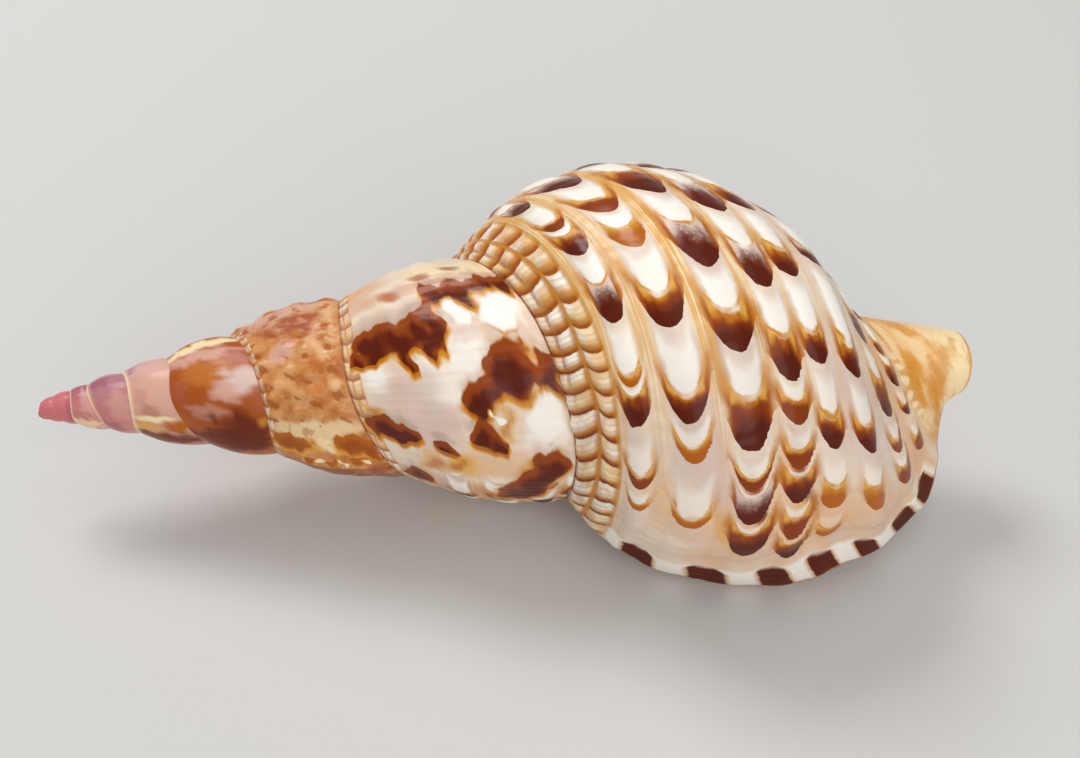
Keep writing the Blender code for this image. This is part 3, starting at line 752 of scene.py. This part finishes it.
def makeShell():
    skin = buildSkin()
    points = np.array(skin.points)
    pitch = Matrix.Rotation(math.radians(-plan["pitch"]), 3, "Y")
    turnOver = np.array(pitch @ Matrix.Rotation(math.radians(plan["roll"]), 3, "X"))
    points = points @ turnOver.T * mm
    # the plain surface fills the CAD box, so it gives the shift
    turns = np.arange(-3, 0.001, 1 / 96)
    plain = np.concatenate([outside(t, np.linspace(0, 3 if t > -1 else 1, 25)) for t in turns])
    far = (plain @ turnOver.T * mm).max(axis=0)
    far[0] = points[:, 0].max()
    shift = np.array(cadBox[1]) - far
    points = points + shift
    data = bpy.data.meshes.new("shellSkin")
    data.from_pydata(points.tolist(), [], skin.faces)
    values = np.array(skin.values)
    corners = np.empty(len(data.loops), dtype=np.int32)
    data.loops.foreach_get("vertex_index", corners)
    for k, name in enumerate(attributeNames + ("face",)):
        layer = data.attributes.new(name, "FLOAT", "CORNER")
        layer.data.foreach_set("value", values[corners, k].astype(np.float32))
    tint = data.attributes.new("ground", "FLOAT_COLOR", "CORNER")
    rgba = np.column_stack([values[corners, -3:], np.ones(len(corners))])
    tint.data.foreach_set("color", rgba.astype(np.float32).ravel())
    bm = bmesh.new()
    bm.from_mesh(data)
    bmesh.ops.remove_doubles(bm, verts=bm.verts[:], dist=0.003 * mm)
    bmesh.ops.dissolve_degenerate(bm, dist=0.0005 * mm, edges=bm.edges[:])
    bmesh.ops.recalc_face_normals(bm, faces=bm.faces[:])
    openEdges = sum(1 for e in bm.edges if len(e.link_faces) != 2)
    for face in bm.faces:
        face.smooth = True
    bm.to_mesh(data)
    bm.free()
    shell = bpy.data.objects.new("shellSkin", data)
    bpy.context.scene.collection.objects.link(shell)
    print("shell", len(data.polygons), "faces,", openEdges, "open edges, shift", (shift / mm).round(2))
    return shell


class Wire:  # wraps a socket, so that shader maths reads as maths
    def __init__(self, finish, socket):
        self.finish, self.socket = finish, socket

    def math(self, operation, *others):
        return self.finish.node("Math", {"operation": operation}, dict(enumerate((self,) + others)))

    def __add__(self, other):
        return self.math("ADD", other)

    def __mul__(self, other):
        return self.math("MULTIPLY", other)

    def __sub__(self, other):
        return self.math("SUBTRACT", other)

    def __rsub__(self, other):
        return self.finish.node("Math", {"operation": "SUBTRACT"}, {0: other, 1: self})

    __radd__, __rmul__ = __add__, __mul__

    def over(self, lo, hi, below=0.0, above=1.0):  # 0 below lo, 1 above hi, smooth between
        values = {"Value": self, "From Min": lo, "From Max": hi, "To Min": below, "To Max": above}
        return self.finish.node("MapRange", {"interpolation_type": "SMOOTHSTEP"}, values)

    def under(self, lo, hi):  # 1 below lo, 0 above hi
        return self.over(lo, hi, 1.0, 0.0)

    def fract(self):
        return self.math("FRACT")

    def abs(self):
        return self.math("ABSOLUTE")

    def max(self, other):
        return self.math("MAXIMUM", other)


class Finish:
    def __init__(self, name):
        self.material = bpy.data.materials.new(name)
        self.material.use_nodes = True
        self.tree = self.material.node_tree
        self.bsdf = self.tree.nodes["Principled BSDF"]

    def fill(self, slot, value):
        if isinstance(value, Wire):
            self.tree.links.new(value.socket, slot)
        elif isinstance(value, str):       # a name from the palette
            slot.default_value = tuple(linear(palette[value])) + (1.0,)
        else:
            slot.default_value = value

    def node(self, kind, settings=None, inputs=None, output=0):
        node = self.tree.nodes.new("ShaderNode" + kind)
        for name, value in (settings or {}).items():
            setattr(node, name, value)
        for key, value in (inputs or {}).items():
            self.fill(node.inputs[key], value)
        return Wire(self, node.outputs[output])

    def value(self, name):
        return self.node("Attribute", {"attribute_name": name}, output="Fac")

    def values(self, *names):
        return [self.value(name) for name in names]

    def mix(self, a, b, share):  # a where share is 0, b where it is 1
        return self.node("Mix", {"data_type": "RGBA"}, {6: a, 7: b, 0: share}, output=2)

    def coats(self, colour, *layers):  # each layer a colour and its share
        for coat, share in layers:
            colour = self.mix(colour, coat, share)
        return colour

    def noise(self, where, scale, detail=3.0):
        return self.node("TexNoise", {"noise_dimensions": "3D"},
                         {"Vector": where, "Scale": scale, "Detail": detail, "Roughness": 0.55})

    def grain(self, along, aside, detail=3.0):  # noise that follows the growth of the shell
        return self.noise(self.node("CombineXYZ", inputs={"X": along, "Y": aside}), 1.0, detail)

    def feed(self, socket, value):
        self.fill(self.bsdf.inputs[socket], value)


def paintGround(f):  # clouds, mottles on the spire, and the cords with fine lines along them
    surface = f.node("Attribute", {"attribute_name": "ground"}, output="Color")
    thirdOn = f.turn.over(-3.02, -2.98)
    older = f.turn.under(-1.95, -1.9) * thirdOn
    mottle = f.noise(f.where, 210.0, 4.0)
    lines = ((f.band * 56.0).fract() - 0.5).abs().over(0.1, 0.38)
    cordTint = f.mix("honey", "cream", (f.spiral + f.broad * 0.5).over(0.44, 0.7))
    faint = 1.0 - f.turn.over(-0.3, -0.12) * 0.7
    return f.coats(
        surface,
        ("lilac", f.soft.over(0.46, 0.66) * f.turn.over(-1.95, -1.8) * (1.0 - f.neck) * 0.6),
        ("peach", f.grown.over(0.5, 0.75) * thirdOn * 0.25),
        ("rust", mottle.over(0.5, 0.64) * older * 0.55),
        ("peach", mottle.under(0.36, 0.5) * older * 0.35),
        (cordTint, f.cord.over(-0.3, 0.25) * f.value("gilt") * (lines * 0.3 + 0.7) * faint))


def paintScales(f, surface, name):  # the white scales of every other band and the dark ones behind them
    side, count, tone, mauve = f.values(name + "Side", name + "Count", name + "Tone", name + "Mauve")
    wobble, broad, broadToo = f.wobble, f.broad, f.broadToo
    u = (count + wobble * 0.05 + broad * 0.16).fract()      # white up to a half, then dark
    s = (u - 0.5) * 2.0
    ragged = side + wobble * 0.22 + broadToo * 0.5
    white = (u - f.turn.over(-0.27, -0.15) * 0.12).over(0.02, 0.2) * ragged.under(0.66, 0.98)
    faint = 1.0 - f.turn.over(-0.27, -0.17) * 0.36 - f.turn.over(-0.12, -0.07) * 0.55
    bleed = (side + broad * 0.8).under(0.85, 1.6) * tone.over(0.3, 0.9)
    bleed = bleed * (u + broadToo * 0.3).over(0.3, 0.6)
    line = (u - 0.5 + broadToo * 0.02).abs().under(0.01, 0.05) * ragged.under(0.85, 1.05)
    surface = f.coats(
        surface,
        ("white", white * tone.over(0.05, 0.3) * faint),
        ("golden", bleed * side.over(0.55, 0.85) * 0.9),
        ("amber", bleed * side.over(0.7, 1.0) * (u + broad * 0.4).over(0.5, 0.75)),
        ("brown", ragged.under(0.85, 1.25) * u.over(0.6, 0.85) * tone.over(0.6, 1.0)),
        ("golden", line * tone.over(0.04, 0.15) * (broad + 0.5).over(0.25, 0.6)))
    q = s - (ragged - 0.45).max(0.0) * 0.9      # the arms of each scale stay lighter than its middle
    root = q + wobble * 0.3
    deep = (q + wobble * 0.4 + broadToo * 0.6).over(0.15, 0.6)
    warm = f.mix("golden", "amber", (root + tone * 0.3).over(0.15, 0.65))
    warm = f.mix("honey", warm, root.over(-0.15, 0.12))
    warm = f.mix(warm, "brown", (root + broad * 0.4).over(0.0, 0.3) * tone.over(0.5, 0.72))
    cool = f.coats(
        "lilac",
        ("plum", root.over(-0.1, 0.3)),
        ("brown", (q + wobble * 0.4 + broad * 0.4).over(0.25, 0.6)),
        ("pale", f.fine.over(0.52, 0.66) * 0.45 * q.under(0.2, 0.6)))
    shade = f.coats(
        warm,
        (cool, mauve),
        ("dark", deep * tone.over(0.7, 0.95)),
        ("brown", deep * (tone.over(0.55, 0.72) - tone.over(0.7, 1.0))))
    return f.mix(surface, shade, s.over(0.0, 0.1) * ragged.under(0.84, 1.02) * tone.over(0.2, 0.42))


def paintBeads(f, surface):  # the two rows beside the suture, pale with brown behind each bead
    inRow, count, tone = f.values("beadRow", "bead", "beadTone")
    near = f.turn.over(-0.25, -0.17)
    bead = (count + f.wobble * 0.06 + f.broad * 0.08).fract()
    ridges = ((count * 4.0 + f.wobble * 0.5).fract() - 0.5).abs().over(0.2, 0.48)
    valley = (inRow + f.wobble * 0.06 - 0.44).abs().under(0.03, 0.11) * (1.0 - near * 0.8)
    rowEdge = ((inRow + 0.5).fract() - 0.5).abs() + f.wobble * 0.1
    tint = f.coats(
        "cream",
        ("white", f.soft.over(0.4, 0.6)),
        ("peach", (f.broad + 0.5).over(0.45, 0.65) * 0.8),
        ("honey", ridges * 0.45),
        ("amber", valley * 0.65),
        ("golden", bead.over(0.4, 0.75) * 0.85),
        # toward the gap each bead turns tan, amber and brown: partly the beads' own golden-brown colour,
        # partly painted shadow that falls below each bead
        (f.mix("tan", "amber", near), bead.over(0.62, 0.84)),
        (f.mix("amber", "brown", near * 0.6 + 0.3), bead.over(0.76, 0.92)),
        ("amber", rowEdge.under(0.03, 0.16) * inRow.over(0.5, 0.6) * 0.75),
        ("golden", f.cord.over(0.0, 0.5) * (f.spiral * 0.8 + 0.3)))
    secondOnSpire = inRow.over(0.9, 1.02) * f.turn.under(-1.05, -0.9)
    return f.mix(surface, tint, inRow.under(1.86, 2.02) * tone * (1.0 - secondOnSpire))


def paintBlots(f, surface):  # blots of the older whorls, with a shade above and a golden fringe below
    dark, gild, veil, gold, light, pit = f.values("dark", "gild", "veil", "gold", "light", "pit")
    streak = f.wobble * 0.4 + (f.spiral - 0.5) * 0.5 + f.broad * 1.3
    secondOn = f.turn.over(-1.95, -1.85)
    gilded, pitted = gild + streak * 0.6, pit + f.wobble
    patchy = (f.broad * 2.0 + 0.5).over(0.1, 0.6) * 0.6 + 0.4
    lit = light + streak * 0.7
    return f.coats(
        surface,
        ("plum", (veil + streak).over(-0.5, 0.9) * f.turn.over(-1.9, -1.8) * 0.35),
        ("honey", gilded.over(-0.9, -0.1) * patchy * 0.8),
        ("golden", gilded.over(-0.4, 0.1) * patchy),
        ("amber", gilded.over(0.0, 0.5) * 0.8),
        (f.mix("amber", "brown", secondOn * 0.85 + dark.over(0.3, 0.9) * 0.15),
         (dark + streak * 0.6).over(-0.22, 0.12)),
        ("dark", (gild + streak * 0.7).over(0.2, 0.85) * dark.over(-0.1, 0.2) * (secondOn * 0.7 + 0.3)),
        ("honey", (gold + streak).over(-1.2, -0.1) * 0.6),
        ("amber", (gold + streak).over(-0.1, 1.2) * 0.7),
        ("rust", pitted.over(-0.9, 0.1) * 0.6),
        ("amber", pitted.over(-0.3, 0.5) * 0.5),
        ("golden", lit.over(-1.3, -0.5) * dark.over(-1.2, -0.3) * 0.9),
        (f.mix("cream", "white", secondOn), lit.over(-0.6, 0.3)))


def paintLip(f, surface):  # white edge with dark bars across it
    start = (f.turn + f.bar * 0.009 + f.wobble * 0.003).over(-0.047, -0.042)
    return f.coats(
        surface,
        ("white", f.lip),
        ("golden", f.bar.over(-0.35, 0.0) * f.lip * start * 0.7),
        ("dark", f.bar.over(-0.06, 0.12) * start * f.lip),
        ("tan", f.turn.over(-0.01, -0.004) * f.across.over(0.1, 0.2) * 0.85))


def paintCanal(f, surface):  # streaks, a row of pale blobs at its neck, and the dark line in the suture
    streaks = f.grain(f.turn * 8.0, f.across * 11.0) + f.noise(f.where, 60.0) * 0.5
    along = ((f.turn * 38.0 + f.broad * 1.1).fract() - 0.5) * 0.1
    aside = (f.across - 2.56 + f.broadToo * 0.12) * 0.7
    away = along * along + aside * aside + f.wobble * 0.0016 + f.broad * 0.0016
    blob = away.under(0.0003, 0.0016) * (f.turn + 0.18).abs().under(0.05, 0.1)
    return f.coats(
        surface,
        ("cream", streaks.over(0.7, 0.92) * f.neck * 0.7),
        ("golden", streaks.under(0.55, 0.74) * f.neck * 0.6),
        ("amber", streaks.under(0.46, 0.6) * f.neck * f.across.under(2.6, 2.85) * 0.6),
        ("cream", blob * 0.9),
        # the brown line in the suture: partly the shell's own thin dark line, partly painted shade in the
        # suture groove
        ("brown", f.across.under(0.004, 0.016) * f.turn.over(-2.6, -2.2) * 0.8))


def paintMouth(f, surface):  # inner wall with bars behind the lip, folded columella, and the rim
    inward = f.across.over(0.3, 0.4) * f.across.under(2.3, 2.4)
    innerWall = f.coats(
        "orange",
        ("cream", f.turn.under(-0.9, -0.1)),
        ("peach", f.soft.over(0.4, 0.65)),
        ("brown", f.bar.over(-0.5, 0.2) * f.turn.over(-0.075, -0.04) * inward))
    folds = (f.across * 18.0 + f.turn * 2.9).fract() - 0.5
    columella = f.coats(
        "brown",
        ("cream", folds.abs().over(0.15, 0.3)),
        ("orange", f.across.under(1.25, 1.45) + f.across.over(2.35, 2.6)),
        ("peach", f.turn.under(-1.55, -1.3)))
    rim = f.mix("orange", "cream", f.soft.over(0.4, 0.6))
    face = f.value("face")
    return f.coats(surface, (innerWall, face.over(0.4, 0.6)), (columella, face.over(1.4, 1.6)),
                   (rim, face.over(2.4, 2.6)))


def shellFinish():
    f = Finish("shellGlaze")
    f.turn, f.across, f.band, f.cord, bar = f.values("turn", "across", "band", "cord", "bar")
    f.where = f.node("TexCoord", output="Object")
    f.fine, f.soft = f.noise(f.where, 900.0), f.noise(f.where, 70.0)
    f.wobble, f.broad, f.broadToo = (f.noise(f.where, scale, 2.0) - 0.5 for scale in (330.0, 120.0, 95.0))
    f.grown = f.grain(f.turn * 170.0, f.across * 6.0, 4.0)
    f.spiral = f.grain(f.turn * 9.0, f.band * 60.0)
    f.neck = f.across.over(2.36, 2.55)
    f.bar = bar + f.wobble * 0.2
    f.lip = f.turn.over(-0.052, -0.044) * f.across.over(0.22, 0.28) * f.across.under(2.32, 2.4)
    surface = paintGround(f)
    for name in ("even", "odd"):
        surface = paintScales(f, surface, name)
    for paint in (paintBeads, paintBlots, paintLip, paintCanal, paintMouth):
        surface = paint(f, surface)
    f.feed("Base Color", surface)
    f.feed("Roughness", f.fine * plan["fineRoughness"] + f.lip * plan["lipRoughness"] + plan["roughness"])
    f.feed("Specular IOR Level", plan["specular"])
    f.feed("Coat Weight", plan["coat"] - f.lip * plan["coat"])
    f.feed("Coat Roughness", plan["coatRoughness"])
    height = f.grown * 0.5 + f.spiral * 0.35 + f.fine * 0.25
    bump = {"Strength": plan["bump"], "Distance": plan["bumpDepth"], "Height": height}
    f.feed("Normal", f.node("Bump", inputs=bump))
    print("finish", len(f.tree.nodes), "nodes")
    return f.material


stage = {
    "floorColour": (0.66, 0.655, 0.645, 1.0),
    "floorRoughness": 0.9,
    "floorSize": 6.0,
    "worldColour": (0.95, 0.94, 0.92, 1.0),
    "worldStrength": 0.34,
    "lamps": (  # name, azimuth, elevation, distance, size, power
        ("keyLamp", 215.0, 55.0, 1.2, 0.5, 7.4),
        ("fillLamp", 15.0, 34.0, 1.5, 1.4, 11.0),
        ("topLamp", 100.0, 80.0, 1.4, 1.0, 2.5),
    ),
    "target": (0.0107, 0.0, 0.0421),
    "distance": 0.5145,
    "elevation": 46.0,
    "azimuth": -2.63,
    "roll": -1.08,
    "fieldOfView": 31.5,
}


def station(azimuth, elevation, distance):  # a place and the way it faces, towards the target
    a, e = math.radians(azimuth), math.radians(elevation)
    away = Vector((math.sin(a) * math.cos(e), -math.cos(a) * math.cos(e), math.sin(e)))
    return Vector(stage["target"]) + away * distance, (-away).to_track_quat("-Z", "Y").to_matrix()


def makeStage():
    scene = bpy.context.scene
    half = stage["floorSize"] / 2
    corners = [(-half, -half, 0), (half, -half, 0), (half, half, 0), (-half, half, 0)]
    data = bpy.data.meshes.new("floor")
    data.from_pydata(corners, [], [(0, 1, 2, 3)])
    floor = bpy.data.objects.new("floor", data)
    scene.collection.objects.link(floor)
    f = Finish("floorPaint")
    f.feed("Base Color", stage["floorColour"])
    f.feed("Roughness", stage["floorRoughness"])
    data.materials.append(f.material)
    for name, azimuth, elevation, distance, size, power in stage["lamps"]:
        light = bpy.data.lights.new(name, "AREA")
        light.size, light.energy = size, power
        lamp = bpy.data.objects.new(name, light)
        lamp.location, facing = station(azimuth, elevation, distance)
        lamp.rotation_euler = facing.to_euler()
        scene.collection.objects.link(lamp)
    world = bpy.data.worlds.new("studio")
    scene.world = world
    world.use_nodes = True
    background = world.node_tree.nodes["Background"]
    background.inputs["Color"].default_value = stage["worldColour"]
    background.inputs["Strength"].default_value = stage["worldStrength"]
    camera = bpy.data.objects.new("camera", bpy.data.cameras.new("camera"))
    camera.data.angle = math.radians(stage["fieldOfView"])
    camera.data.clip_start = 0.01
    camera.location, facing = station(stage["azimuth"], stage["elevation"], stage["distance"])
    camera.rotation_euler = (facing @ Matrix.Rotation(math.radians(stage["roll"]), 3, "Z")).to_euler()
    scene.collection.objects.link(camera)
    scene.camera = camera
    scene.view_settings.view_transform = "Standard"
    print("stage set")


shell = makeShell()
shell.data.materials.append(shellFinish())
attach(shell, "root")
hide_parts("shell")
makeStage()
